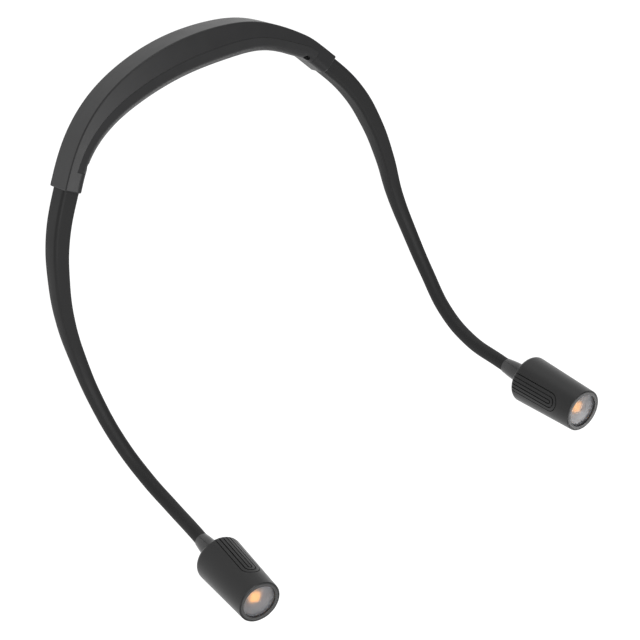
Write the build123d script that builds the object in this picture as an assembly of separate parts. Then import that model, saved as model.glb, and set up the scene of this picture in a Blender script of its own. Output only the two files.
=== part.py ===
from build123d import *
from math import cos, hypot, radians, sin, sqrt, tan
import os

# A rechargeable reading light that hangs round the neck: a curved band that holds the
# battery, two bendable arms and a lamp head on each. Lengths are in millimetres, turns in
# degrees. The light lies on a table with its lamps raised: +Z is up, the band is at the
# back (+Y) and the lamps are in front (-Y). The origin is on the table, under the middle
# of the light's outline. The right side is built and the left side is its mirror image.

# Neck band
band_half_span = 67.2
band_depth = 36.2
band_height = 13.6
band_thickness = 15.5
band_wall = 1.4
outer_shares = ((0.306, 0.061), (0.582, 0.240), (0.824, 0.577), (1, 1))
inner_shares = ((0.371, 0.072), (0.681, 0.285), (0.874, 0.603), (1, 1))
parting_shares = (0.58, 0.56, 0.52, 0.44, 0.38)
parting_gap = 0.1
lip_thickness = 0.7
lip_reach = 1.2
crease_radius = 0.6
neck_radius = 3.2

# Collars at the ends of the band
collar_thickness = 8.5
collar_length = 8.0
collar_turn = 56
collar_edge = 0.5

# Cover screws, driven in slantwise through the rounded edge of the cover
screw_from_collar = 3.2
screw_tilt = 30
screw_head_radius = 1.35
screw_head_height = 1.0
screw_recess = 0.8
screw_floor = 0.9
screw_shank_radius = 0.75
screw_length = 4.4
screw_boss_radius = 2.1
screw_slot_width = 0.5
screw_slot_depth = 0.5

# Battery, board and charging socket
battery_share = 0.303
battery_depth = 7.6
battery_edge = 1.2
battery_front_room = 0.3
board_thickness = 0.8
board_gap = 3.5
board_end_share = 0.725
board_room = 1.0
chip_size = 3.6
chip_height = 1.0
coil_radius = 1.8
coil_height = 1.6
socket_width = 8.9
socket_depth = 3.2
socket_shell = 0.3
socket_share = 0.735
tongue_width = 6.6
tongue_thickness = 0.7
tongue_reach = 5.5
light_radius = 0.8
light_share = 0.80
cable_radius = 0.8
cable_straight = 3.0
right_cable_shares = (0.835, 0.88, 0.93)
left_cable_shares = (0.665, 0.58, 0.48, 0.37, 0.26, 0.17, 0.095)

# Arms: skin, gooseneck and wires
arm_inset = 4.1
arm_spread = 17.7
arm_forward = 142.2
arm_rise = 65.7
head_place_share = 0.916
arm_path_shares = (
    (0.551, 0.116, -0.004),
    (0.858, 0.240, -0.018),
    (0.998, 0.367, -0.0382),
    (0.999, 0.494, -0.042),
    (0.993, 0.620, 0.014),
    (0.936, 0.742, 0.116),
    (0.827, 0.850, 0.269),
    (0.780, 0.923, 0.495),
    (0.836, 0.966, 0.754),
)
root_height = 9.8
root_thickness = 7.5
root_corner = 1.5
root_step = 0.3
tube_start = 6.25
tube_end = 5.75
taper_share = 0.69
section_count = 5
joint_shares = (0.095, 0.35, 0.60, 0.845)
hose_radius = 1.8
hose_bore = 0.95
wire_radius = 0.36
wire_offset = 0.42
root_inside = 5.4
anchor_plate = 0.9
anchor_barrel = 2.3
anchor_reach = 3.5

# Ferrules between the arms and the heads
ferrule_length = 12.3
ferrule_start = 3.15
ferrule_end = 4.0
ferrule_flare_shares = ((0.08, 0.14), (0.22, 0.42), (0.50, 0.80))
ferrule_socket = 2.2
ferrule_hose = 5.0
ferrule_tail = 3.0
ferrule_flange = 3.8
ferrule_flange_height = 0.8

# Lamp heads
head_forward_tilt = 15.3
head_outward_tilt = 4.8
head_length = 33.0
head_back_radius = 10.25
head_front_radius = 9.1
head_shoulder = 2.0
head_wall = 1.5
head_back_wall = 2.0
head_front_edge = 0.35
ring_rim = 0.7
ring_bore = 7.15
lens_radius = 7.8
lens_recess = 1.0
lens_thickness = 1.2
lens_crown = 0.35
bowl_radius = 7.55
bowl_height = 2.2
bowl_throat = 2.9
bowl_mouth = 6.9
led_board_thickness = 1.0
led_side = 3.8
led_thickness = 0.8
sink_height = 5.0
sink_core = 3.4
sink_plate = 1.2
fin_count = 14
fin_gap = 1.0

# Key on the inner side of each head, turned towards the back by a different angle on
# each side
right_key_turn = 25
left_key_turn = 68
key_length = 25.5
key_half_width = 3.85
key_gap = 0.3
key_thickness = 2.2
key_flange = 0.6
key_rear_depth = 3.2
key_pivot_depth = 1.7
key_pivot_height = 1.0
key_press = 1.6
groove_pitch = 1.6
groove_count = 2
groove_width = 0.45
groove_depth = 0.5
switch_board_width = 6.0
switch_board_thickness = 0.8
switch_place = 14.0
switch_side = 3.4
switch_height = 1.2
plunger_radius = 0.7
plunger_height = 0.5
plunger_room = 0.5
branch_height = 6.0

# Clearances between pieces
fit = 0.05
seat = 0.15
running = 0.3
overrun = 40.0

# Directions and places that follow from the sizes
collar_way = Vector(cos(radians(collar_turn)), -sin(radians(collar_turn)))
inward = Vector(-sin(radians(collar_turn)), -cos(radians(collar_turn)))
head_way = Vector(tan(radians(head_outward_tilt)), -tan(radians(head_forward_tilt)), 1).normalized()
overall_depth = (
    band_depth
    - arm_inset * inward.Y
    + arm_forward
    - head_length * head_way.Y
    + head_front_radius * sqrt(1 - head_way.Y**2)
)
back_y = overall_depth / 2
mid_z = band_height / 2
outer_end = Vector(band_half_span, back_y - band_depth)
inner_end = outer_end + inward * collar_thickness
battery_length = 2 * band_half_span * battery_share
arm_start = outer_end + inward * arm_inset + Vector(0, 0, mid_z)


def half_points(shares, end, start_y):
    """Points of one side of a band curve, from the middle to its end."""
    depth = start_y - end.Y
    return [Vector(0, start_y)] + [Vector(end.X * x, start_y - depth * y) for x, y in shares]


def mirrored(points):
    """The whole row of points, from the left end to the right end."""
    left = [Vector(-p.X, p.Y) for p in reversed(points[1:])]
    return left + points


def band_curve(points):
    """A smooth curve along the band that leaves both ends in the collars' direction."""
    start = Vector(collar_way.X, -collar_way.Y)
    return Spline(*mirrored(points), tangents=[start, collar_way])


outer_points = half_points(outer_shares, outer_end, back_y)
inner_points = half_points(inner_shares, inner_end, back_y - band_thickness)
parting_points = [o + (i - o) * s for o, i, s in zip(outer_points, inner_points, parting_shares)]
outer_curve = band_curve(outer_points)
inner_curve = band_curve(inner_points)
parting_curve = band_curve(parting_points)


def moved_curve(curve, points, distance):
    """The curve again, moved sideways towards the neck by a distance."""
    places = []
    for point in points:
        way = curve % curve.param_at_point(point)
        places.append(point + Vector(way.Y, -way.X) * distance)
    return band_curve(places)


def plan_face(first, second):
    """The flat face between two curves along the band."""
    close_left = Line(first @ 0, second @ 0)
    close_right = Line(first @ 1, second @ 1)
    return make_face([first, close_right, second, close_left])


def inset_face(distance):
    """The plan of the band, smaller by a distance along its back and its neck side."""
    return plan_face(
        moved_curve(outer_curve, outer_points, distance),
        moved_curve(inner_curve, inner_points, -distance),
    )


def collar_block(start, length):
    """A block across one end of the band, from start to start + length behind its end."""
    middle = (outer_end + inner_end) / 2 - collar_way * (start + length / 2)
    place = Plane(origin=middle, x_dir=collar_way, z_dir=(0, 0, 1))
    return place * Box(length, overrun, overrun)


def both_sides(shape):
    """The shape and its mirror image in the light's middle plane."""
    return [shape, mirror(shape, about=Plane.YZ)]


def band_block():
    """The whole outside of the band as one solid."""
    block = extrude(plan_face(outer_curve, inner_curve), amount=band_height)
    long_edges = [e for e in block.edges() if e.length > band_half_span]
    long_edges.sort(key=lambda e: e.length)
    block = fillet(long_edges[:2], neck_radius)
    long_edges = [e for e in block.edges() if e.length > band_half_span]
    outer_edges = [e for e in long_edges if (e @ 0.5).Y > back_y - crease_radius]
    block = fillet(outer_edges, crease_radius)
    rims = []
    for face in block.faces():
        out = face.normal_at() if face.center().X > 0 else mirror_x(face.normal_at())
        if abs(out.dot(collar_way)) > 0.99:
            rims += face.outer_wire().edges()
    return fillet(rims, collar_edge)


def mirror_x(v):
    """A vector seen in the light's middle plane."""
    return Vector(-v.X, v.Y, v.Z)


def band_room():
    """The hollow inside the band, between the collars."""
    room = extrude(inset_face(band_wall), amount=band_height - 2 * band_wall)
    room = room.moved(Location((0, 0, band_wall)))
    long_edges = [e for e in room.edges() if e.length > band_half_span]
    long_edges.sort(key=lambda e: e.length)
    room = fillet(long_edges[:2], neck_radius - band_wall)
    for block in both_sides(collar_block(-overrun, overrun + collar_length)):
        room -= block
    return room


def cover_zone(shift):
    """The side of the parting curve where the cover lies, moved towards the neck by shift."""
    moved = [Vector(p.X, p.Y - shift) for p in parting_points]
    curve = band_curve(moved)
    front = Polyline(
        curve @ 1,
        Vector(band_half_span, back_y - band_depth - overrun),
        Vector(-band_half_span, back_y - band_depth - overrun),
        curve @ 0,
    )
    return extrude(make_face([curve, front]), amount=band_height)


def without_collars(shape, extra):
    """The shape, cut square where the collars begin."""
    for cut in both_sides(collar_block(-overrun, overrun + collar_length + extra)):
        shape -= cut
    return shape


def collar_plane(distance):
    """The plane across the right collar, a distance behind its end, centred on the arm."""
    return Plane(
        origin=arm_start - collar_way * distance,
        x_dir=(0, 0, 1),
        z_dir=collar_way,
    )


def screw_plane(depth):
    """The plane across the right cover screw at a depth below the cover's rounded edge."""
    edge = inner_end - collar_way * (collar_length + screw_from_collar) - inward * neck_radius
    middle = Vector(edge.X, edge.Y, band_height - neck_radius)
    out = -inward * cos(radians(screw_tilt)) - Vector(0, 0, sin(radians(screw_tilt)))
    point = middle - out * neck_radius
    return Plane(origin=point + out * depth, x_dir=collar_way, z_dir=out)


def band_station(share, depth_share):
    """A place in the band: share along it, and share of the way from back to parting."""
    place = outer_curve @ share
    place = place + (parting_curve @ share - place) * depth_share
    return place, outer_curve % share


def socket_plane(share):
    """The plane at the band's lower face for what sits in the floor at that share."""
    place, way = band_station(share, 0.5)
    return Plane(origin=place, x_dir=way, z_dir=(0, 0, 1))


board_under = band_height - band_wall - board_room - board_thickness
head_start = arm_start + Vector(arm_spread * head_place_share, -arm_forward, arm_rise)
arm_end = head_start - head_way * (ferrule_length - ferrule_socket)
arm_steps = [Vector(arm_spread * x, -arm_forward * y, arm_rise * z) for x, y, z in arm_path_shares]
arm_points = [arm_start + step for step in arm_steps]
arm_path = Spline(arm_start, *arm_points, arm_end, tangents=[collar_way, head_way])
arm_length = arm_path.length


def head_plane(key_turn):
    """The plane at the back of the right head, with its key turned from the inner side."""
    inner_way = Vector(-1, 0, 0) + head_way * head_way.X
    plane = Plane(origin=head_start, x_dir=inner_way.normalized(), z_dir=head_way)
    return Plane(plane.location * Rot(0, 0, -key_turn))


def arm_plane(share):
    """The plane across the arm; its x direction is as upright as the arm allows."""
    way = arm_path % share
    upright = Vector(0, 0, 1) - way * way.Z
    return Plane(origin=arm_path @ share, x_dir=upright.normalized(), z_dir=way)


def skin_size(share):
    """Height, thickness and corner radius of the arm's skin, from flat root to round tube."""
    along = min(share / taper_share, 1)
    flat = (1 - along) ** 2 * (1 + 2 * along)
    tube = tube_start + (tube_end - tube_start) * share
    height = tube + (root_height - tube_start) * flat
    thickness = tube + (root_thickness - tube_start) * flat
    corner = root_corner * flat + (thickness / 2) * (1 - flat)
    return height, thickness, min(corner, thickness / 2 - fit)


def skin_section(share):
    """The outline of the skin across the arm."""
    return arm_plane(share) * RectangleRounded(*skin_size(share))


def root_outline(growth):
    """The outline of the skin at its root, made larger all round by growth."""
    return RectangleRounded(root_height + 2 * growth, root_thickness + 2 * growth, root_corner + growth)


def stations(start, end):
    """Even shares of the arm from start to end."""
    step = (end - start) / (section_count - 1)
    return [start + step * i for i in range(section_count)]


def skin_run(start, end):
    """A length of solid skin."""
    return loft([skin_section(share) for share in stations(start, end)])


def round_run(radius, start, end, side=0):
    """A round length along the arm, a little to one side of its middle."""
    rings = [arm_plane(share) * Pos(0, side, 0) * Circle(radius) for share in stations(start, end)]
    return loft(rings)


def ball_radius(share):
    """Radius of the ball that just holds the arm's section."""
    height, thickness, corner = skin_size(share)
    return hypot(height / 2 - corner, thickness / 2 - corner) + corner + fit


def ball(share, gap):
    """A ball round a bending point of the arm."""
    return Pos(arm_path @ share) * Sphere(ball_radius(share) + gap)


def tip(end):
    """The share of the arm where the ball round a bending point ends."""
    return end + ball_radius(end) / arm_length


def jointed(run, start, end):
    """A length made by run that starts in a cup at one bending point and ends in a ball."""
    piece = run(start, end)
    if start > 0:
        piece -= ball(start, running)
    if end in joint_shares:
        piece += run(end, tip(end)) & ball(end, 0)
    return piece


def bored(run, start, end):
    """The hollow that run leaves along a jointed length."""
    hollow = run(start, end)
    if end in joint_shares:
        hollow += run(end, tip(end))
    return hollow


def make_shell_and_cover():
    """The two shells of the band, with their parting gap, lip, posts, pocket and socket hole."""
    block = band_block()
    room = band_room()
    zone = without_collars(cover_zone(0), 0)
    shell = block - zone - room
    cover = (block & without_collars(cover_zone(parting_gap), parting_gap)) - room
    inner_face = inset_face(band_wall + lip_thickness)
    inner_room = extrude(inner_face, amount=band_height - 2 * (band_wall + lip_thickness))
    inner_room = inner_room.moved(Location((0, 0, band_wall + lip_thickness)))
    lip = (room & (cover_zone(-lip_reach) - cover_zone(lip_reach))) - inner_room
    cover += without_collars(lip, parting_gap)
    mouth = root_outline(seat - root_step)
    pocket = extrude(collar_plane(root_inside + anchor_plate + seat) * mouth, amount=overrun)
    barrel_hole = extrude(collar_plane(collar_length + seat) * Circle(anchor_barrel + fit), amount=overrun)
    clamp = screw_recess + screw_head_height + screw_floor
    rib = Pos(screw_from_collar / 2, 0) * Rectangle(screw_from_collar + 2 * seat, 2 * screw_boss_radius)
    boss_outline = screw_plane(clamp + fit) * (Circle(screw_boss_radius) + rib)
    boss = extrude(boss_outline, amount=screw_length - clamp + seat)
    pilot = extrude(screw_plane(0) * Circle(screw_shank_radius + fit), amount=screw_length + fit)
    well = extrude(screw_plane(-overrun) * Circle(screw_head_radius + seat), amount=overrun)
    well += extrude(
        screw_plane(0) * Circle(screw_head_radius + seat), amount=screw_recess + screw_head_height
    )
    post = extrude(screw_plane(0) * Circle(screw_boss_radius + seat), amount=clamp)
    post = (post & block) - collar_block(0, collar_length + parting_gap)
    for add in both_sides(boss):
        shell += add
        cover -= add
    for add in both_sides(post):
        shell -= add
        cover += add
    for cut in both_sides(pilot) + both_sides(well):
        shell -= cut
        cover -= cut
    for cut in both_sides(pocket) + both_sides(barrel_hole):
        shell -= cut
    socket_outline = SlotOverall(socket_width + 2 * seat, socket_depth + 2 * seat)
    shell -= extrude(socket_plane(socket_share) * socket_outline, amount=band_wall)
    shell -= extrude(socket_plane(light_share) * Circle(light_radius + fit), amount=band_wall)
    return shell, cover


def make_screws():
    """The two cover screws, each with a cross cut in its head."""
    screw = extrude(screw_plane(screw_recess) * Circle(screw_head_radius), amount=screw_head_height)
    shank = screw_plane(screw_recess) * Circle(screw_shank_radius)
    screw += extrude(shank, amount=screw_length - screw_recess)
    for turn in (0, 90):
        cross = Rectangle(2 * screw_head_radius - 2 * screw_slot_width, screw_slot_width, rotation=turn)
        screw -= extrude(screw_plane(screw_recess) * cross, amount=screw_slot_depth)
    return Compound(children=both_sides(screw))


def make_battery():
    """The flat cell in the thick middle of the band."""
    height = band_height - 2 * (band_wall + lip_thickness + seat)
    middle = back_y - band_thickness + band_wall + battery_front_room + battery_depth / 2
    cell = Pos(0, middle, mid_z) * Box(battery_length, battery_depth, height)
    return fillet(cell.edges(), battery_edge)


def make_board():
    """The charging and control board, cut to the bend of the band."""
    board = extrude(inset_face(band_wall + running), amount=board_thickness)
    board = board.moved(Location((0, 0, board_under)))
    start = battery_length / 2 + board_gap
    length = band_half_span * board_end_share - start
    window = Pos(start + length / 2, back_y, board_under) * Box(length, overrun * 2, overrun)
    return board & window


def make_board_parts():
    """A chip and a coil under the board, between the socket and the battery."""
    place, way = band_station(socket_share - (light_share - socket_share), 1)
    spot = Plane(origin=Vector(place.X, place.Y, board_under), x_dir=way, z_dir=(0, 0, -1))
    chip = extrude(spot * Rectangle(chip_size, chip_size), amount=chip_height)
    coil = extrude(spot * Pos(chip_size + seat, 0) * Circle(coil_radius), amount=coil_height)
    return Compound(children=[chip, coil])


def make_socket():
    """The upright charging socket: a flat steel shell with a tongue inside."""
    outline = SlotOverall(socket_width, socket_depth)
    hollow = SlotOverall(socket_width - 2 * socket_shell, socket_depth - 2 * socket_shell)
    socket = extrude(socket_plane(socket_share) * outline, amount=board_under)
    socket -= extrude(socket_plane(socket_share) * hollow, amount=tongue_reach + socket_shell)
    tongue = extrude(
        socket_plane(socket_share) * Rectangle(tongue_width, tongue_thickness), amount=board_under
    )
    tongue -= extrude(socket_plane(socket_share) * outline, amount=socket_shell)
    return socket + tongue


def make_charge_light():
    """The light guide that shows the charging state beside the socket."""
    return extrude(socket_plane(light_share) * Circle(light_radius), amount=board_under)


def band_place(share):
    """A place for the middle of a cable close to the band's back wall."""
    way = outer_curve % share
    side = Vector(way.Y, -way.X)
    place = outer_curve @ share + side * (band_wall + seat + cable_radius)
    return Vector(place.X, place.Y, mid_z)


def cable(points, radius):
    """A round cable through points, with each bend as wide as its two runs allow."""
    bends = []
    for before, here, after in zip(points, points[1:], points[2:]):
        first = here - before
        second = after - here
        half_turn = radians(first.get_angle(second)) / 2
        bends.append(0.45 * min(first.length, second.length) / tan(half_turn))
    path = FilletPolyline(*points, radius=bends)
    start = Plane(origin=points[0], z_dir=points[1] - points[0])
    return sweep(start * Circle(radius), path)


def wires(plane, length):
    """The two wires of an arm, running straight from a plane across it."""
    first = plane * Pos(0, -wire_offset) * Circle(wire_radius)
    second = plane * Pos(0, wire_offset) * Circle(wire_radius)
    return extrude(first, amount=length) + extrude(second, amount=length)


def wire_run(start, end):
    """The two wires along a stretch of the arm."""
    first = round_run(wire_radius, start, end, -wire_offset)
    return first + round_run(wire_radius, start, end, wire_offset)


def make_band_leads():
    """The cables from the board to both arms, and the wires up to the first bending points."""
    depth = collar_length + seat
    gate = arm_start - collar_way * depth
    before_gate = gate - collar_way * cable_straight
    up = Vector(0, 0, board_under - mid_z)
    right_places = [band_place(share) for share in right_cable_shares]
    right = cable([right_places[0] + up, *right_places, before_gate, gate], cable_radius)
    left_places = [band_place(share) for share in left_cable_shares]
    left = cable([left_places[0] + up, *left_places, mirror_x(before_gate), mirror_x(gate)], cable_radius)
    inside = wires(collar_plane(depth), depth)
    outside = jointed(wire_run, 0, joint_shares[0])
    arm_wires = inside + outside
    return Compound(children=[right + arm_wires, left + mirror(arm_wires, about=Plane.YZ)])


def make_anchor():
    """The steel end fitting in the collar: a plate, a barrel and the first length of hose."""
    plate = root_outline(-root_step)
    anchor = extrude(collar_plane(root_inside + anchor_plate) * plate, amount=anchor_plate)
    barrel_length = collar_length - root_inside + anchor_reach
    anchor += extrude(collar_plane(collar_length) * Circle(anchor_barrel), amount=barrel_length)
    anchor += extrude(collar_plane(collar_length) * Circle(hose_radius), amount=collar_length)
    anchor += jointed(hose_run, 0, joint_shares[0])
    bore = extrude(collar_plane(collar_length) * Circle(hose_bore), amount=collar_length)
    bore += bored(bore_run, 0, joint_shares[0])
    return anchor - bore


def hose_run(start, end):
    """A length of solid gooseneck."""
    return round_run(hose_radius, start, end)


def bore_run(start, end):
    """The hollow of the gooseneck."""
    return round_run(hose_bore, start, end)


def hose_room(start, end):
    """The room for the gooseneck inside the skin."""
    return round_run(hose_radius + seat, start, end)


def make_root_skin():
    """The flat end of the skin: straight inside the collar, then free up to the first bend."""
    skin = extrude(collar_plane(root_inside) * root_outline(-root_step), amount=root_inside)
    skin += jointed(skin_run, 0, joint_shares[0])
    skin -= extrude(collar_plane(root_inside) * Circle(anchor_barrel + fit), amount=anchor_reach)
    skin -= extrude(collar_plane(root_inside) * Circle(hose_radius + seat), amount=root_inside)
    return skin - bored(hose_room, 0, joint_shares[0])


def make_skin(start, end):
    """One length of skin between two bending points."""
    return jointed(skin_run, start, end) - bored(hose_room, start, end)


def make_hose(start, end):
    """One length of gooseneck; the last one runs on into the ferrule."""
    hose = jointed(hose_run, start, end)
    if end == 1:
        hose += extrude(Plane(origin=arm_end, z_dir=head_way) * Circle(hose_radius), amount=ferrule_hose)
        hose -= extrude(Plane(origin=arm_end, z_dir=head_way) * Circle(hose_bore), amount=ferrule_hose)
    return hose - bored(bore_run, start, end)


def make_last_leads(place):
    """The last length of the wires, which runs on to the boards in the head at place."""
    leads = jointed(wire_run, joint_shares[-1], 1)
    leads += wires(arm_plane(1), ferrule_length - ferrule_socket + led_board_under)
    branch = Plane(origin=(0, 0, branch_height), z_dir=(1, 0, 0))
    return leads + place * extrude(branch * Circle(wire_radius), amount=switch_board_under)


ring_height = lens_recess + lens_thickness + seat
bowl_under = head_length - ring_height - fit - bowl_height
led_board_under = bowl_under - led_board_thickness
sink_under = led_board_under - sink_height
key_travel = key_length * tan(radians(key_press))
upright = (Align.CENTER, Align.CENTER, Align.MIN)


def head_radius(height):
    """Outer radius of the head at a height above its back."""
    return head_back_radius + (head_front_radius - head_back_radius) * height / head_length


switch_board_under = (
    head_radius(switch_place)
    - key_thickness
    - plunger_room
    - plunger_height
    - switch_height
    - switch_board_thickness
)


def head_cone(inset, start, end):
    """The tapered form of the head, made smaller all round by inset."""
    cone = Cone(head_radius(start) - inset, head_radius(end) - inset, end - start, align=upright)
    return Pos(0, 0, start) * cone


def head_form():
    """The whole outside of the head, with its rounded shoulder and front edge."""
    form = head_cone(0, 0, head_length)
    rims = form.edges().filter_by(GeomType.CIRCLE).sort_by(Axis.Z)
    form = fillet(rims[0], head_shoulder)
    rims = form.edges().filter_by(GeomType.CIRCLE).sort_by(Axis.Z)
    return fillet(rims[-1], head_front_edge)


def disc(radius, start, height):
    """A round disc on the head's axis."""
    return Pos(0, 0, start) * Cylinder(radius, height, align=upright)


def tongue(half_width, start, front, depth):
    """A block with a round front, open to the side of the head where the key lies."""
    side = Plane(origin=(depth, 0, 0), x_dir=(0, 1, 0), z_dir=(1, 0, 0))
    straight = front - half_width - start
    outline = Pos(0, start + straight / 2) * Rectangle(2 * half_width, straight)
    outline += Pos(0, front - half_width) * Circle(half_width)
    return extrude(side * outline, amount=overrun)


def make_head_shell():
    """The head's housing, with the hole for the ferrule, the ring's seat and the key's opening."""
    shell = head_form() - head_cone(head_wall, head_back_wall, head_length)
    shell -= disc(head_front_radius - ring_rim + fit, head_length - ring_height - fit, ring_height + fit)
    shell -= disc(ferrule_tail + fit, 0, head_back_wall)
    inner = head_back_radius - key_rear_depth - key_gap
    return shell - tongue(key_half_width + key_gap, -key_gap, key_length + key_gap, inner)


def make_key():
    """The long key that is pressed in at its round front and rocks on its root."""
    key = head_form() & tongue(key_half_width, 0, key_length, head_back_radius - key_rear_depth)
    rim = key_gap + key_flange
    flange = tongue(key_half_width + rim, head_back_wall + running, key_length + rim, 0)
    key += flange & head_cone(head_wall + seat, 0, head_length)
    key -= head_cone(key_thickness, head_back_wall, head_length)
    skin = head_form() - head_cone(groove_depth, 0, head_length)
    for i in range(1, groove_count + 1):
        middle = key_half_width + key_gap / 2 - i * groove_pitch
        front = key_length + key_gap / 2 - i * groove_pitch
        groove = tongue(middle + groove_width / 2, 0, front + groove_width / 2, 0)
        if middle > groove_width:
            groove -= tongue(middle - groove_width / 2, 0, front - groove_width / 2, 0)
        key -= groove & skin
    return key


def make_front_ring():
    """The ring that holds the lens in the front of the head."""
    ring = disc(head_front_radius - ring_rim, head_length - ring_height, ring_height)
    ring -= disc(ring_bore, 0, head_length)
    ring -= disc(lens_radius + fit, 0, head_length - lens_recess)
    rims = ring.edges().filter_by(GeomType.CIRCLE).sort_by(Axis.Z)
    return fillet(rims[-2:], fit * 2)


def make_lens():
    """The frosted lens: a disc with a slightly raised middle."""
    top = head_length - lens_recess
    crown = ThreePointArc(
        (-ring_bore + fit, top), (0, top + lens_crown), (ring_bore - fit, top)
    )
    cap = make_face([crown, Line(crown @ 1, crown @ 0)])
    cap = Plane.XZ * split(cap, bisect_by=Plane.YZ, keep=Keep.TOP)
    lens = disc(lens_radius, top - lens_thickness, lens_thickness)
    return lens + revolve(cap, Axis.Z)


def make_reflector():
    """The bowl between the lens and the lamp's board."""
    bowl = disc(bowl_radius, bowl_under, bowl_height)
    return bowl - Pos(0, 0, bowl_under) * Cone(bowl_throat, bowl_mouth, bowl_height, align=upright)


def make_led_board():
    """The round board that carries the lamp."""
    return disc(bowl_radius, led_board_under, led_board_thickness)


def make_led_chip():
    """The flat lamp on its board."""
    chip = Pos(0, 0, bowl_under) * Box(led_side, led_side, led_thickness, align=upright)
    return fillet(chip.edges().filter_by(Axis.Z), led_thickness / 2)


def make_heat_sink():
    """The finned disc behind the lamp's board, with a flat that leaves room for the pressed key."""
    sink = disc(bowl_radius, sink_under, sink_height)
    sink -= disc(hose_bore, sink_under, sink_height)
    fin_height = sink_height - sink_plate
    for i in range(fin_count):
        gap = Pos(sink_core, 0, sink_under) * Box(
            bowl_radius, fin_gap, fin_height, align=(Align.MIN, Align.CENTER, Align.MIN)
        )
        sink -= Rot(0, 0, (i + 1 / 2) * 360 / fin_count) * gap
    rim = key_gap + key_flange
    key_inside = head_radius(key_length + rim) - key_thickness
    flat = sqrt(key_inside**2 - (key_half_width + rim) ** 2) - key_travel - running
    return sink - Pos(flat, 0, sink_under) * Box(
        bowl_radius, 2 * bowl_radius, sink_height, align=(Align.MIN, Align.CENTER, Align.MIN)
    )


def make_switch_board():
    """The narrow board that carries the switch, between the head's back and the heat sink."""
    length = sink_under - head_back_wall - 2 * seat
    place = Pos(switch_board_under + switch_board_thickness / 2, 0, head_back_wall + seat)
    return place * Box(switch_board_thickness, switch_board_width, length, align=upright)


def make_tact_switch():
    """The small switch under the key, with its plunger."""
    under = switch_board_under + switch_board_thickness
    side = Plane(origin=(under, 0, switch_place), x_dir=(0, 1, 0), z_dir=(1, 0, 0))
    switch = extrude(side * Rectangle(switch_side, switch_side), amount=switch_height)
    return switch + extrude(side * Circle(plunger_radius), amount=switch_height + plunger_height)


def make_ferrule():
    """The flared sleeve that joins an arm to its head, with a tail through the head's back."""
    growth = ferrule_end - ferrule_start
    flare = [(ferrule_start + growth * g, ferrule_length * (l - 1)) for l, g in ferrule_flare_shares]
    side = Spline((ferrule_start, -ferrule_length), *flare, (ferrule_end, 0))
    outline = Polyline(side @ 1, (0, 0), (0, -ferrule_length), side @ 0)
    ferrule = revolve(Plane.XZ * make_face([side, outline]), Axis.Z)
    ferrule += disc(ferrule_tail, 0, head_back_wall + seat)
    ferrule += disc(ferrule_flange, head_back_wall + seat, ferrule_flange_height)
    ferrule -= disc(tube_end / 2 + 2 * fit, -ferrule_length, ferrule_socket)
    ferrule -= disc(hose_radius + 2 * fit, -ferrule_length, ferrule_socket + ferrule_hose)
    return ferrule - disc(hose_bore, -ferrule_length, overrun)


band = {}
band["outer_shell"], band["inner_cover"] = make_shell_and_cover()
band["cover_screws"] = make_screws()
band["battery_cell"] = make_battery()
band["main_board"] = make_board()
band["board_parts"] = make_board_parts()
band["charge_socket"] = make_socket()
band["charge_light"] = make_charge_light()
band["band_leads"] = make_band_leads()

side = {"anchor": make_anchor(), "sheath_root": make_root_skin()}
arm_ends = list(joint_shares) + [1]
for i, start in enumerate(joint_shares):
    end = arm_ends[i + 1]
    side[f"sheath_{i + 1}"] = make_skin(start, end)
    side[f"gooseneck_{i + 1}"] = make_hose(start, end)
    if end < 1:
        side[f"leads_{i + 1}"] = jointed(wire_run, start, end)

head = {
    "ferrule": make_ferrule(),
    "head_shell": make_head_shell(),
    "key": make_key(),
    "front_ring": make_front_ring(),
    "lens": make_lens(),
    "reflector": make_reflector(),
    "led_board": make_led_board(),
    "led_chip": make_led_chip(),
    "heat_sink": make_heat_sink(),
    "switch_board": make_switch_board(),
    "tact_switch": make_tact_switch(),
}

os.makedirs("parts", exist_ok=True)
for name, shape in band.items():
    export_step(shape, f"parts/{name}.step")

key_turns = {"right": right_key_turn, "left": left_key_turn}
pivot = Vector(head_back_radius - key_pivot_depth, 0, key_pivot_height)
for hand, key_turn in key_turns.items():
    place = head_plane(key_turn)
    pieces = dict(side)
    pieces[f"leads_{len(joint_shares)}"] = make_last_leads(place)
    for name, shape in head.items():
        pieces[name] = place * shape
    for name, shape in pieces.items():
        if hand == "left":
            shape = mirror(shape, about=Plane.YZ)
        export_step(shape, f"parts/{hand}_{name}.step")
    print(hand, "key pivot", place.from_local_coords(pivot), "axis", place.y_dir, "before mirroring")

for i, share in enumerate(joint_shares):
    centre = arm_path @ share
    plane = arm_plane(share)
    print("joint", i + 1, "centre", centre, "upright", plane.x_dir, "sideways", plane.y_dir)
print("head start", head_start, "way", head_way)
print("arm length", round(arm_length, 2), "back", round(back_y, 3))
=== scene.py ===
import bpy
from math import cos, radians, sin, tan
from mathutils import Matrix, Vector


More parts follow.
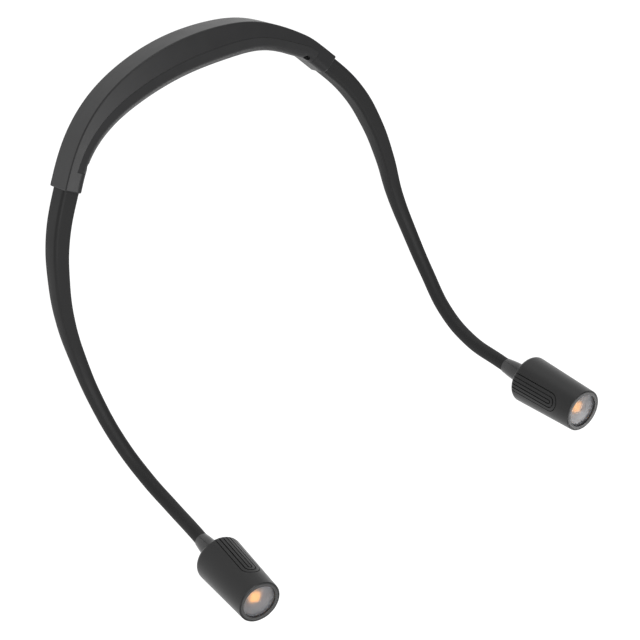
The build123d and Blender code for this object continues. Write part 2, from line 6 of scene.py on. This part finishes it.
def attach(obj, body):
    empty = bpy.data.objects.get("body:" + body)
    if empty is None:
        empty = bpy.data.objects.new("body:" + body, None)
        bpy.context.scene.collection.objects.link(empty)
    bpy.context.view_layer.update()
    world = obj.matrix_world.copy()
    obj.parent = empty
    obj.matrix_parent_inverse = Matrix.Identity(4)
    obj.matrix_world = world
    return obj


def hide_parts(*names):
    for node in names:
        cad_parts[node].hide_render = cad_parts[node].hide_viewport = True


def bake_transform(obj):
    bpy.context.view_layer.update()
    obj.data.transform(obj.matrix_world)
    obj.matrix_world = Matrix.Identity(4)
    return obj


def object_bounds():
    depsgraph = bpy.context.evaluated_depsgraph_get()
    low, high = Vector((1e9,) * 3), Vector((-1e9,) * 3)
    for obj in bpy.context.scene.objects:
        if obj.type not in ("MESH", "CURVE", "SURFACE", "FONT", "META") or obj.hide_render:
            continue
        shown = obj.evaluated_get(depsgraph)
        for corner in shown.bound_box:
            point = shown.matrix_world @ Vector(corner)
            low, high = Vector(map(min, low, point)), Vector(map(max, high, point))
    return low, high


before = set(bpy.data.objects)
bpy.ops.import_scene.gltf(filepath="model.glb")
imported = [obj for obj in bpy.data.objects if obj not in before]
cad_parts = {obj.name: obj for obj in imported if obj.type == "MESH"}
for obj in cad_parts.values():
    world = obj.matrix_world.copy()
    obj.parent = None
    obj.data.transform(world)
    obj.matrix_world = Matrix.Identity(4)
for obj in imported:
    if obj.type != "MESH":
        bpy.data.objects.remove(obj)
cadLow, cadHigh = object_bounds()
sides = {"right": 1, "left": -1}

# sizes of the light that more than one piece follows, in metres
light = {
    "bandHalfSpan": 0.0672,
    "bandDepth": 0.0362,
    "bandHeight": 0.0136,
    "bandCentreBehind": 0.0815,
    "collarTurn": radians(56),
    "armInset": 0.0041,
    "armForward": 0.1422,
    "armSpread": 0.0177,
    "armRise": 0.0657,
    "headForwardTilt": radians(15.3),
    "headOutwardTilt": radians(4.8),
    "headPlaceShare": 0.916,
    "ferruleLength": 0.0123,
    "ferruleSocket": 0.0022,
}
sameHeight = 0.0001  # points closer in height than this lie on one ring
mergeDistance = 0.00001
endFacing = 0.9  # an end face's normal has at least this share along the piece


# helpers

def clearSelection():
    if bpy.context.object and bpy.context.object.mode != "OBJECT":
        bpy.ops.object.mode_set(mode="OBJECT")
    bpy.ops.object.select_all(action="DESELECT")


def pickOnly(piece):
    clearSelection()
    piece.select_set(True)
    bpy.context.view_layer.objects.active = piece


def named(name):
    piece = bpy.context.object
    piece.name = name
    piece.data.name = name
    return piece


def settle(piece):
    pickOnly(piece)
    bpy.ops.object.transform_apply(location=True, rotation=True, scale=True)


def pickEdges(piece, test):
    pickOnly(piece)
    mesh = piece.data
    bpy.context.tool_settings.mesh_select_mode = (False, True, False)
    mesh.polygons.foreach_set("select", [False] * len(mesh.polygons))
    mesh.vertices.foreach_set("select", [False] * len(mesh.vertices))
    for edge in mesh.edges:
        a, b = (mesh.vertices[v].co for v in edge.vertices)
        edge.select = bool(test(a, b))
    bpy.ops.object.mode_set(mode="EDIT")


def pickFaces(piece, test):
    pickOnly(piece)
    mesh = piece.data
    bpy.context.tool_settings.mesh_select_mode = (False, False, True)
    mesh.vertices.foreach_set("select", [False] * len(mesh.vertices))
    mesh.edges.foreach_set("select", [False] * len(mesh.edges))
    for face in mesh.polygons:
        face.select = bool(test(face.center, face.normal))
    bpy.ops.object.mode_set(mode="EDIT")


def runsAlong(a, b):
    return abs(a.z - b.z) > sameHeight


def pickPoints(piece, test):
    pickOnly(piece)
    mesh = piece.data
    bpy.context.tool_settings.mesh_select_mode = (True, False, False)
    mesh.edges.foreach_set("select", [False] * len(mesh.edges))
    mesh.polygons.foreach_set("select", [False] * len(mesh.polygons))
    for point in mesh.vertices:
        point.select = bool(test(point.co))
    bpy.ops.object.mode_set(mode="EDIT")


def addModifier(piece, kind, **settings):
    modifier = piece.modifiers.new(kind, kind)
    for key, value in settings.items():
        setattr(modifier, key, value)


def applyModifiers(piece):
    pickOnly(piece)
    for modifier in list(piece.modifiers):
        bpy.ops.object.modifier_apply(modifier=modifier.name)


def smooth(piece, angle=35):
    pickOnly(piece)
    bpy.ops.object.shade_smooth_by_angle(angle=radians(angle))


def paint(piece, material):
    piece.data.materials.clear()
    piece.data.materials.append(material)


# camera, from the photograph's viewing angle

viewpoint = {
    "across": -0.458354,
    "behindBand": 0.33498,
    "height": 0.955644,
    "right": (0.798311, -0.263109, 0.541732),
    "up": (0.435383, 0.873629, -0.217288),
    "lens": 153.96,
    "nearest": 0.05,
    "farthest": 20,
}


def makeCamera():
    right = Vector(viewpoint["right"]).normalized()
    back = right.cross(Vector(viewpoint["up"])).normalized()
    up = back.cross(right)
    turn = Matrix((right, up, back)).transposed()
    place = (viewpoint["across"], cadHigh.y + viewpoint["behindBand"], viewpoint["height"])
    bpy.ops.object.camera_add(location=place, rotation=turn.to_euler())
    camera = named("camera")
    camera.data.lens = viewpoint["lens"]
    camera.data.clip_start = viewpoint["nearest"]
    camera.data.clip_end = viewpoint["farthest"]
    bpy.context.scene.camera = camera


makeCamera()
print("camera placed")


# studio: pale floor and soft lights

studio = {
    "floorSize": 6,
    "floorTone": 0.1,
    "floorGlow": 1.0,
    "floorRoughness": 0.9,
    "floorGloss": 0.1,
    "roomTone": 1.0,
    "roomStrength": 0.55,
}
lamps = {
    "softTop": {"place": (-0.25, 0.05, 1.5), "size": 1.1, "power": 22},
    "softLeft": {"place": (-1.3, -0.6, 0.35), "size": 0.9, "power": 6},
    "softFront": {"place": (0.7, -1.4, 0.2), "size": 0.7, "power": 10},
    "softBack": {"place": (0.4, 1.4, 0.3), "size": 0.7, "power": 6},
}


def makeStudio():
    bpy.ops.mesh.primitive_plane_add(size=studio["floorSize"], location=(0, 0, cadLow.z))
    floor = named("floor")
    settle(floor)
    tone = studio["floorTone"]
    material = bpy.data.materials.new("paleFloor")
    material.use_nodes = True
    shader = material.node_tree.nodes["Principled BSDF"]
    shader.inputs["Base Color"].default_value = (tone, tone, tone, 1)
    shader.inputs["Roughness"].default_value = studio["floorRoughness"]
    shader.inputs["Specular IOR Level"].default_value = studio["floorGloss"]
    shader.inputs["Emission Color"].default_value = (1, 1, 1, 1)
    shader.inputs["Emission Strength"].default_value = studio["floorGlow"]
    paint(floor, material)
    world = bpy.data.worlds.new("studioRoom")
    bpy.context.scene.world = world
    world.use_nodes = True
    background = world.node_tree.nodes["Background"]
    background.inputs["Color"].default_value = (studio["roomTone"],) * 3 + (1,)
    background.inputs["Strength"].default_value = studio["roomStrength"]
    # each lamp faces the middle of the reading light
    for name, lamp in lamps.items():
        bpy.ops.object.light_add(type="AREA", location=lamp["place"])
        made = named(name)
        made.data.shape = "DISK"
        made.data.size = lamp["size"]
        made.data.energy = lamp["power"]
        made.rotation_euler = (-Vector(lamp["place"])).to_track_quat("-Z", "Y").to_euler()
        made.visible_camera = False
    bpy.context.scene.view_settings.view_transform = "Standard"


makeStudio()
print("studio lit")


# finishes

# faint marks that every finish carries
marks = {
    "mottle": 0.08,
    "mottleSize": 0.006,
    "mottleDetail": 4,
    "wear": 0.05,
    "grainDetail": 2,
}


def finish(name, base, roughness, grain=0, grainSize=0, lean=0, **sockets):
    material = bpy.data.materials.new(name)
    material.use_nodes = True
    nodes, links = material.node_tree.nodes, material.node_tree.links
    shader = nodes["Principled BSDF"]
    place = nodes.new("ShaderNodeTexCoord")
    cloud = nodes.new("ShaderNodeTexNoise")
    cloud.inputs["Scale"].default_value = 1 / marks["mottleSize"]
    cloud.inputs["Detail"].default_value = marks["mottleDetail"]
    links.new(place.outputs["Object"], cloud.inputs["Vector"])
    tones = nodes.new("ShaderNodeMix")
    tones.data_type = "RGBA"
    tones.inputs["A"].default_value = tuple(c * (1 - marks["mottle"]) for c in base) + (1,)
    tones.inputs["B"].default_value = tuple(c * (1 + marks["mottle"]) for c in base) + (1,)
    links.new(cloud.outputs["Fac"], tones.inputs["Factor"])
    links.new(tones.outputs["Result"], shader.inputs["Base Color"])
    worn = nodes.new("ShaderNodeMapRange")
    worn.inputs["To Min"].default_value = roughness - marks["wear"]
    worn.inputs["To Max"].default_value = roughness + marks["wear"]
    links.new(cloud.outputs["Fac"], worn.inputs["Value"])
    links.new(worn.outputs["Result"], shader.inputs["Roughness"])
    if grain:
        speckle = nodes.new("ShaderNodeTexNoise")
        speckle.inputs["Scale"].default_value = 1 / grainSize
        speckle.inputs["Detail"].default_value = marks["grainDetail"]
        links.new(place.outputs["Object"], speckle.inputs["Vector"])
        bump = nodes.new("ShaderNodeBump")
        bump.inputs["Strength"].default_value = 1
        bump.inputs["Distance"].default_value = grain
        links.new(speckle.outputs["Fac"], bump.inputs["Height"])
        links.new(bump.outputs["Normal"], shader.inputs["Normal"])
        if lean:
            links.new(leaningNormal(nodes, links, place, lean), bump.inputs["Normal"])
    for key, value in sockets.items():
        shader.inputs[key].default_value = value
    return material


# tilts the shine of a flat top outwards, all round the band, or inwards if lean is negative
def leaningNormal(nodes, links, place, lean):
    fromCentre = nodes.new("ShaderNodeVectorMath")
    fromCentre.operation = "SUBTRACT"
    fromCentre.inputs[1].default_value = (0, cadHigh.y - light["bandCentreBehind"], 0)
    links.new(place.outputs["Object"], fromCentre.inputs[0])
    flat = nodes.new("ShaderNodeVectorMath")
    flat.operation = "MULTIPLY"
    flat.inputs[1].default_value = (1, 1, 0)
    links.new(fromCentre.outputs["Vector"], flat.inputs[0])
    distance = nodes.new("ShaderNodeVectorMath")
    distance.operation = "LENGTH"
    links.new(flat.outputs["Vector"], distance.inputs[0])
    slope = nodes.new("ShaderNodeMath")
    slope.operation = "MULTIPLY"
    slope.inputs[1].default_value = -lean
    links.new(distance.outputs["Value"], slope.inputs[0])
    tilt = nodes.new("ShaderNodeBump")
    tilt.inputs["Strength"].default_value = 1
    tilt.inputs["Distance"].default_value = 1
    links.new(slope.outputs["Value"], tilt.inputs["Height"])
    return tilt.outputs["Normal"]


bandBlack = (0.015, 0.015, 0.0155)
headBlack = (0.006, 0.006, 0.0062)
boardWhite = (0.45, 0.46, 0.48)
softGloss = {"Specular IOR Level": 0.34}
dullGloss = {"Specular IOR Level": 0.22}
fineGrain = {"grain": 0.00001, "grainSize": 0.00025}
lampGlow = {"Emission Color": (1, 0.42, 0.08, 1), "Emission Strength": 4}
finishes = {
    "housing": finish("mouldedBlack", bandBlack, 0.4, lean=0.2, **dullGloss, **fineGrain),
    "cover": finish("mouldedCover", bandBlack, 0.4, lean=-0.06, **dullGloss, **fineGrain),
    "silicone": finish("softSilicone", (0.008, 0.008, 0.0082), 0.6, **dullGloss, **fineGrain),
    "head_housing": finish("satinHead", headBlack, 0.36, **softGloss, **fineGrain),
    "key": finish("satinKey", headBlack, 0.36, **softGloss, **fineGrain),
    "ferrule": finish("glossySleeve", (0.016, 0.016, 0.0165), 0.24, **fineGrain),
    "trim_ring": finish("frontRing", (0.024, 0.024, 0.0245), 0.35, **fineGrain),
    "gooseneck": finish("springSteel", (0.5, 0.5, 0.49), 0.35, Metallic=1),
    "screw": finish("blackScrew", (0.03, 0.03, 0.03), 0.35, Metallic=1),
    "battery": finish("cellWrap", (0.42, 0.44, 0.46), 0.35),
    "board": finish("boardGreen", (0.02, 0.1, 0.045), 0.4),
    "component": finish("darkComponent", (0.03, 0.03, 0.032), 0.4),
    "connector": finish("platedSteel", (0.6, 0.6, 0.58), 0.25, Metallic=1),
    "light_guide": finish("clearGuide", (0.8, 0.82, 0.85), 0.2),
    "wire": finish("redWire", (0.35, 0.03, 0.02), 0.45),
    "lens": finish("frostedLens", (0.44, 0.45, 0.47), 0.35, **{"Transmission Weight": 0.85}),
    "reflector": finish("whiteBowl", boardWhite, 0.4),
    "led_board": finish("whiteBoard", boardWhite, 0.4),
    "lamp": finish("warmLamp", (0.95, 0.5, 0.16), 0.4, **lampGlow),
    "heat_sink": finish("castSink", (0.5, 0.5, 0.5), 0.4, Metallic=1),
}
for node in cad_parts.values():
    paint(node, finishes[node.data.materials[0].name])
print("finishes on the frame")


# arms: skin, gooseneck and wires along one path per side

armPathShares = (
    (0.551, 0.116, -0.004),
    (0.858, 0.240, -0.018),
    (0.998, 0.367, -0.0382),
    (0.999, 0.494, -0.042),
    (0.993, 0.620, 0.014),
    (0.936, 0.742, 0.116),
    (0.827, 0.850, 0.269),
    (0.780, 0.923, 0.495),
    (0.836, 0.966, 0.754),
)
collarWay = Vector((cos(light["collarTurn"]), -sin(light["collarTurn"]), 0))
inward = Vector((-sin(light["collarTurn"]), -cos(light["collarTurn"]), 0))
headWay = Vector((tan(light["headOutwardTilt"]), -tan(light["headForwardTilt"]), 1)).normalized()
outerEnd = Vector((light["bandHalfSpan"], cadHigh.y - light["bandDepth"], light["bandHeight"] / 2))
armStart = outerEnd + inward * light["armInset"]


def alongArm(x, y, z):
    return armStart + Vector((light["armSpread"] * x, -light["armForward"] * y, light["armRise"] * z))


headStart = alongArm(light["headPlaceShare"], 1, 1)
armEnd = headStart - headWay * (light["ferruleLength"] - light["ferruleSocket"])
armKnots = [armStart] + [alongArm(*shares) for shares in armPathShares] + [armEnd]
armWays = {"start": collarWay, "end": headWay}


def onSide(point, hand):
    return Vector((point.x * hand, point.y, point.z))


arm = {
    "jointShares": (0.095, 0.35, 0.60, 0.845),
    "bendReach": 0.014,
    "pathSteps": 48,
}


def makeArmPath(side, hand):
    bpy.ops.curve.primitive_bezier_curve_add()
    path = named(side + "ArmPath")
    path.matrix_world = Matrix.Identity(4)
    path.data.resolution_u = arm["pathSteps"]
    path.data.twist_mode = "Z_UP"
    spline = path.data.splines[0]
    spline.bezier_points.add(len(armKnots) - len(spline.bezier_points))
    for point, knot in zip(spline.bezier_points, armKnots):
        point.co = onSide(knot, hand)
        point.handle_left_type = point.handle_right_type = "AUTO"
    bpy.context.view_layer.update()
    ends = (
        (spline.bezier_points[0], armKnots[0], armKnots[1], onSide(armWays["start"], hand)),
        (spline.bezier_points[-1], armKnots[-1], armKnots[-2], onSide(armWays["end"], hand)),
    )
    for point, here, beside, way in ends:
        reach = (beside - here).length / 3  # a handle of a third of the span bends evenly
        point.handle_left_type = point.handle_right_type = "FREE"
        point.handle_right = point.co + way * reach
        point.handle_left = point.co - way * reach
    return path


armPaths = {side: makeArmPath(side, hand) for side, hand in sides.items()}
armLength = armPaths["right"].data.splines[0].calc_length()
bendPlaces = [share * armLength for share in arm["jointShares"]]
cuts = [(a + b) / 2 for a, b in zip(bendPlaces, bendPlaces[1:])]  # lengths meet between bends
print("arm length", round(armLength, 4))

skin = {
    "rootHeight": 0.0098,
    "rootThickness": 0.0075,
    "rootCorner": 0.0015,
    "rootStep": 0.0003,
    "tubeStart": 0.00625,
    "tubeEnd": 0.00575,
    "taperShare": 0.69,
    "wall": 0.00095,
    "insideCollar": 0.0054,
    "ringStep": 0.0015,
    "cornerSteps": 7,
    "sideCuts": 7,
}


# falls smoothly from 1 at the flat root to 0 where the skin is round
def flatShare(along):
    part = min(max(along / armLength / skin["taperShare"], 0), 1)
    return (1 - part) ** 2 * (1 + 2 * part)


# the slimmer stretch of skin that sits inside the collar
def addPlug(piece):
    step = 2 * skin["rootStep"]
    slimmer = (1 - step / skin["rootThickness"], 1 - step / skin["rootHeight"], 1)
    pickEdges(piece, lambda a, b: max(abs(a.z), abs(b.z)) < sameHeight)
    bpy.ops.mesh.extrude_edges_move()
    bpy.ops.transform.resize(value=slimmer, center_override=(0, 0, 0))
    bpy.ops.mesh.extrude_edges_move(TRANSFORM_OT_translate={"value": (0, 0, -skin["insideCollar"])})
    clearSelection()


# one length of skin: a rounded box that turns into a tube, hollowed and laid along the path
def makeSkin(side, number, start, end):
    bpy.ops.mesh.primitive_cube_add(
        size=1,
        location=(0, 0, (start + end) / 2),
        scale=(skin["rootThickness"], skin["rootHeight"], end - start),
    )
    piece = named(f"{side}_skin_{number}")
    settle(piece)
    pickFaces(piece, lambda centre, normal: abs(normal.z) > endFacing)
    bpy.ops.mesh.delete(type="ONLY_FACE")
    pickEdges(piece, runsAlong)
    bpy.ops.mesh.bevel(offset=skin["rootCorner"], segments=skin["cornerSteps"], affect="EDGES")
    clearSelection()
    pickEdges(piece, lambda a, b: not runsAlong(a, b) and (a - b).length > skin["rootCorner"])
    bpy.ops.mesh.subdivide(number_cuts=skin["sideCuts"])
    clearSelection()
    pickEdges(piece, runsAlong)
    bpy.ops.mesh.subdivide(number_cuts=round((end - start) / skin["ringStep"]))
    clearSelection()
    if number == 1:
        addPlug(piece)
    group = piece.vertex_groups.new(name="round")
    for point in piece.data.vertices:
        group.add([point.index], 1 - flatShare(point.co.z), "REPLACE")
    addModifier(
        piece, "CAST", cast_type="CYLINDER", factor=1, use_radius_as_size=False,
        size=skin["tubeStart"] / 2, use_z=False, vertex_group="round",
    )
    slimming = (skin["tubeEnd"] / skin["tubeStart"] - 1) * (end - start) / armLength
    addModifier(piece, "SIMPLE_DEFORM", deform_method="TAPER", deform_axis="Z", factor=slimming)
    addModifier(piece, "SOLIDIFY", thickness=skin["wall"], offset=-1)
    addModifier(piece, "CURVE", object=armPaths[side], deform_axis="POS_Z")
    applyModifiers(piece)
    smooth(piece)
    paint(piece, finishes["silicone"])
    return piece


gooseneck = {
    "radius": 0.0018,
    "bore": 0.00095,
    "pitch": 0.0012,
    "valley": 0.88,
    "insideCollar": 0.008,
    "insideFerrule": 0.005,
    "sides": 20,
    "profileCuts": 3,
    "smoothAngle": 60,
}


# one length of hose: a ring with a valley at each end, repeated for every turn of the coil
def makeGooseneck(side, number, start, end):
    turnsOfWire = round((end - start) / gooseneck["pitch"])
    pitch = (end - start) / turnsOfWire
    middle = start + pitch / 2
    valley = gooseneck["valley"]
    bpy.ops.mesh.primitive_cylinder_add(
        vertices=gooseneck["sides"], radius=gooseneck["radius"], depth=pitch,
        end_fill_type="NOTHING", location=(0, 0, middle),
    )
    piece = named(f"{side}_gooseneck_coil_{number}")
    settle(piece)
    pickEdges(piece, runsAlong)
    bpy.ops.mesh.subdivide(number_cuts=gooseneck["profileCuts"])
    clearSelection()
    pickPoints(piece, lambda co: abs(co.z - middle) > pitch / 2 - sameHeight)
    bpy.ops.transform.resize(value=(valley, valley, 1), center_override=(0, 0, 0))
    clearSelection()
    addModifier(
        piece, "ARRAY", count=turnsOfWire, use_relative_offset=False, use_constant_offset=True,
        constant_offset_displace=(0, 0, pitch), use_merge_vertices=True,
        merge_threshold=mergeDistance,
    )
    wall = gooseneck["radius"] * valley - gooseneck["bore"]
    addModifier(piece, "SOLIDIFY", thickness=wall, offset=-1)
    addModifier(piece, "CURVE", object=armPaths[side], deform_axis="POS_Z")
    applyModifiers(piece)
    smooth(piece, gooseneck["smoothAngle"])
    paint(piece, finishes["gooseneck"])
    return piece


wirePair = {"radius": 0.00036, "offset": 0.00042, "step": 0.003, "sides": 12}


def makeWires(side, number, start, end):
    parts = []
    for offset in (-wirePair["offset"], wirePair["offset"]):
        bpy.ops.mesh.primitive_cylinder_add(
            vertices=wirePair["sides"], radius=wirePair["radius"], depth=end - start,
            location=(offset, 0, (start + end) / 2),
        )
        wire = named(f"{side}_wires_{number}")
        settle(wire)
        pickEdges(wire, runsAlong)
        bpy.ops.mesh.subdivide(number_cuts=round((end - start) / wirePair["step"]))
        clearSelection()
        parts.append(wire)
    pickOnly(parts[0])
    parts[1].select_set(True)
    bpy.ops.object.join()
    piece = parts[0]
    addModifier(piece, "CURVE", object=armPaths[side], deform_axis="POS_Z")
    applyModifiers(piece)
    smooth(piece)
    paint(piece, finishes["wire"])
    return piece


# the steel end fitting that holds each hose in its collar
endFitting = {
    "plateHeight": 0.0092,
    "plateThickness": 0.0069,
    "plateCorner": 0.0012,
    "plateStart": -0.0063,
    "plateEnd": -0.0054,
    "barrelRadius": 0.0023,
    "barrelWall": 0.00045,
    "barrelStart": -0.008,
    "barrelEnd": -0.0019,
    "sides": 40,
    "cornerSteps": 6,
}


def makeEndFitting(side):
    start, end = endFitting["plateStart"], endFitting["plateEnd"]
    bpy.ops.mesh.primitive_cube_add(
        size=1,
        location=(0, 0, (start + end) / 2),
        scale=(endFitting["plateThickness"], endFitting["plateHeight"], end - start),
    )
    plate = named(f"{side}_end_fitting")
    settle(plate)
    pickEdges(plate, runsAlong)
    bpy.ops.mesh.bevel(
        offset=endFitting["plateCorner"], segments=endFitting["cornerSteps"], affect="EDGES",
    )
    clearSelection()
    start, end = endFitting["barrelStart"], endFitting["barrelEnd"]
    for name in ("drill", "barrel"):
        bpy.ops.mesh.primitive_cylinder_add(
            vertices=endFitting["sides"], radius=endFitting["barrelRadius"], depth=end - start,
            location=(0, 0, (start + end) / 2),
            end_fill_type="NGON" if name == "drill" else "NOTHING",
        )
        settle(named(name))
    drill, barrel = bpy.data.objects["drill"], bpy.data.objects["barrel"]
    addModifier(plate, "BOOLEAN", object=drill, operation="DIFFERENCE", solver="EXACT")
    applyModifiers(plate)
    bpy.data.objects.remove(drill)
    addModifier(barrel, "SOLIDIFY", thickness=endFitting["barrelWall"], offset=-1)
    applyModifiers(barrel)
    pickOnly(plate)
    barrel.select_set(True)
    bpy.ops.object.join()
    addModifier(plate, "CURVE", object=armPaths[side], deform_axis="POS_Z")
    applyModifiers(plate)
    smooth(plate)
    paint(plate, finishes["gooseneck"])
    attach(plate, "root")
    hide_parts(f"{side}_anchor")


# the arm's direction at a distance from its collar
def wayAt(side, along):
    mesh = bpy.data.meshes.new_from_object(armPaths[side])
    spots = [v.co.copy() for v in mesh.vertices]
    bpy.data.meshes.remove(mesh)
    walked = 0
    for a, b in zip(spots, spots[1:]):
        walked += (b - a).length
        if walked >= along:
            return (b - a).normalized()
    return (spots[-1] - spots[-2]).normalized()


# bakes a piece's placement into its mesh
def bendWith(piece, side, number):
    reach = wayAt(side, bendPlaces[number - 1]) * arm["bendReach"]
    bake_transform(piece)


def makeArm(side):
    makeEndFitting(side)
    starts = [0] + cuts
    ends = cuts + [armLength]
    for number, (start, end) in enumerate(zip(starts, ends), 1):
        sleeve = makeSkin(side, number, start, end)
        bendWith(sleeve, side, number)
        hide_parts(f"{side}_sheath_{number}")
        if number == 1:
            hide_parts(f"{side}_sheath_root")
        coilStart = -gooseneck["insideCollar"] if number == 1 else start
        coilEnd = end + gooseneck["insideFerrule"] if end == armLength else end
        coil = makeGooseneck(side, number, coilStart, coilEnd)
        bendWith(coil, side, number)
        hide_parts(f"{side}_gooseneck_{number}")
        wireStart = bendPlaces[0] if number == 1 else coilStart
        wires = makeWires(side, number, wireStart, coilEnd)
        bendWith(wires, side, number)
        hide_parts(f"{side}_leads_{number}")


for side in sides:
    makeArm(side)
    print(side, "arm dressed")
for path in armPaths.values():
    bpy.data.objects.remove(path)

clearSelection()
